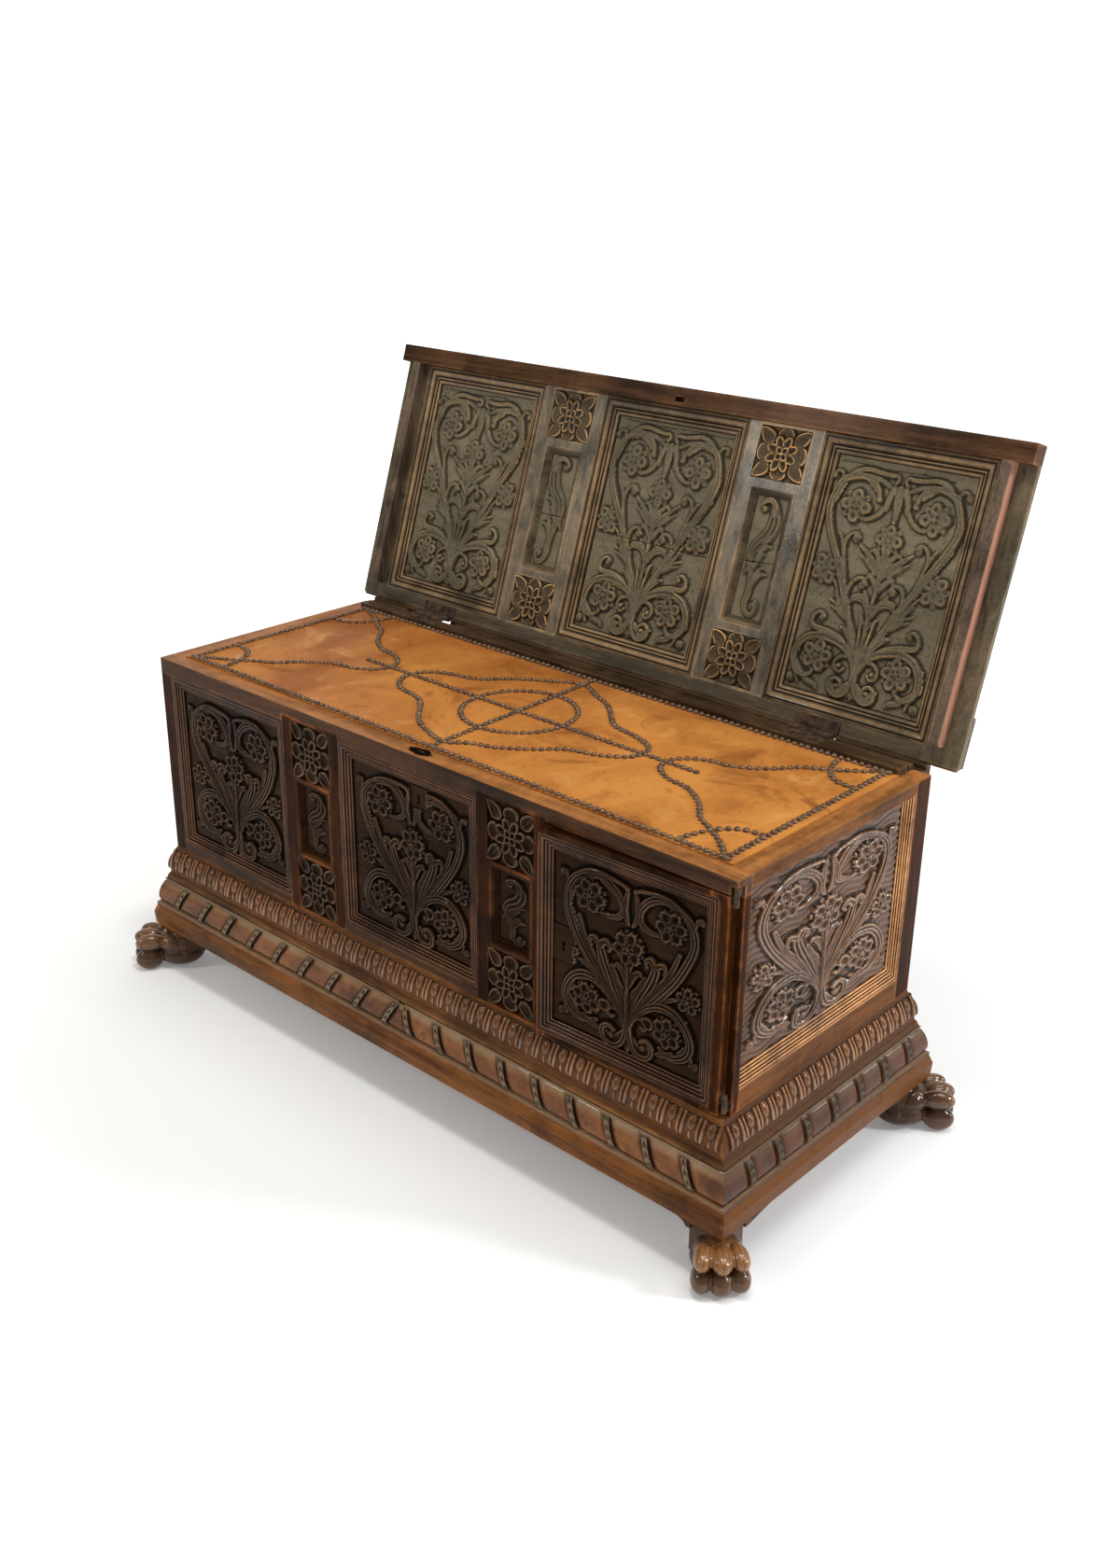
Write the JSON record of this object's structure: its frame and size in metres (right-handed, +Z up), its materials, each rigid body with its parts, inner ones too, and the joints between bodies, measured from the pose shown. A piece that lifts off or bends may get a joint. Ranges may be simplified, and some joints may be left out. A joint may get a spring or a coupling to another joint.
{
  "type": "cassone",
  "caption": "Low carved walnut chest with a hinged panelled lid, a carved front door, a leather covered deck and a moulded plinth on lion-paw feet.",
  "frame": {"origin": "middle of the floor area that the chest covers with its lid open, on the floor", "axes": "+X to the right seen from the front, -Y out of the front, +Z up"},
  "size_m": [1.5272, 0.808, 1.1535],
  "materials": {
    "walnut": "dark waxed walnut, worn lighter on the edges",
    "walnut_plinth": "waxed walnut, orange-brown where worn",
    "walnut_lid": "dull grey-brown walnut with golden worn edges",
    "walnut_plain": "plain unpolished walnut",
    "leather": "worn tan hide with stains",
    "iron": "dark forged iron with light rust"
  },
  "bodies": {
    "case": {"back_boards": "walnut_plain", "back_top_rail": "walnut_plain", "deck_battens": "walnut_plain", "deck_board": "walnut_plain", "deck_hinge_rail": "walnut", "door_hinge_case_eyes": "iron", "door_hinge_pins": "iron", "floor_board": "walnut_plain", "foot_caps": "walnut_plinth", "front_bottom_rails": "walnut", "front_centre_moulding": "walnut", "front_centre_panel": "walnut", "front_left_moulding": "walnut", "front_left_muntin": "walnut", "front_left_panel": "walnut", "front_left_stile": "walnut", "front_narrow_panels": "walnut", "front_right_muntin": "walnut", "front_right_stile": "walnut", "front_rosettes": "walnut", "front_top_rail": "walnut", "leather_cover": "leather", "left_side_moulding": "walnut", "left_side_panel": "walnut", "lid_hinge_case_leaves": "iron", "lid_hinge_pins": "iron", "lid_lock_case": "iron", "paw_front_left": "walnut_plinth", "paw_front_right": "walnut_plinth", "paw_rear_left": "walnut_plinth", "paw_rear_right": "walnut_plinth", "plinth_base": "walnut_plinth", "plinth_brackets": "walnut_plinth", "plinth_ovolo": "walnut_plinth", "plinth_torus": "walnut_plinth", "rear_stiles": "walnut", "right_side_moulding": "walnut", "right_side_panel": "walnut", "side_bottom_rails": "walnut", "side_top_rails": "walnut"},
    "lid": {"lid_cleats": "walnut_lid", "lid_end_stiles": "walnut_lid", "lid_front_rail": "walnut_lid", "lid_hinge_lid_leaves": "iron", "lid_mouldings": "walnut_lid", "lid_muntins": "walnut_lid", "lid_narrow_panels": "walnut_lid", "lid_panels": "walnut_lid", "lid_rear_batten": "walnut_lid", "lid_rear_rail": "walnut_lid", "lid_rosettes": "walnut_lid", "lid_top_board": "walnut_plain"},
    "door": {"door_hinge_door_eyes": "iron", "door_lock_case": "iron", "door_moulding": "walnut", "door_panel": "walnut", "door_rails": "walnut", "door_stiles": "walnut"},
    "lid_bolt": {"lid_lock_bolt": "iron"},
    "door_bolt": {"door_lock_bolt": "iron"}
  },
  "joints": [
    {"name": "lid_hinge", "type": "hinge", "parent": "case", "child": "lid", "pos_m": [0, 0.20808, 0.6585], "axis": [1, 0, 0], "range_deg": [0, 107.9]},
    {"name": "door_hinge", "type": "hinge", "parent": "case", "child": "door", "pos_m": [0.6645, -0.30342, 0.442], "axis": [0, 0, 1], "range_deg": [-2.5, 107.5]},
    {"name": "lid_bolt_slide", "type": "slide", "parent": "case", "child": "lid_bolt", "axis": [0, 0, 1], "range_m": [0, 0.012]},
    {"name": "door_bolt_slide", "type": "slide", "parent": "door", "child": "door_bolt", "axis": [-0.999, -0.0436, 0], "range_m": [0, 0.009]}
  ]
}
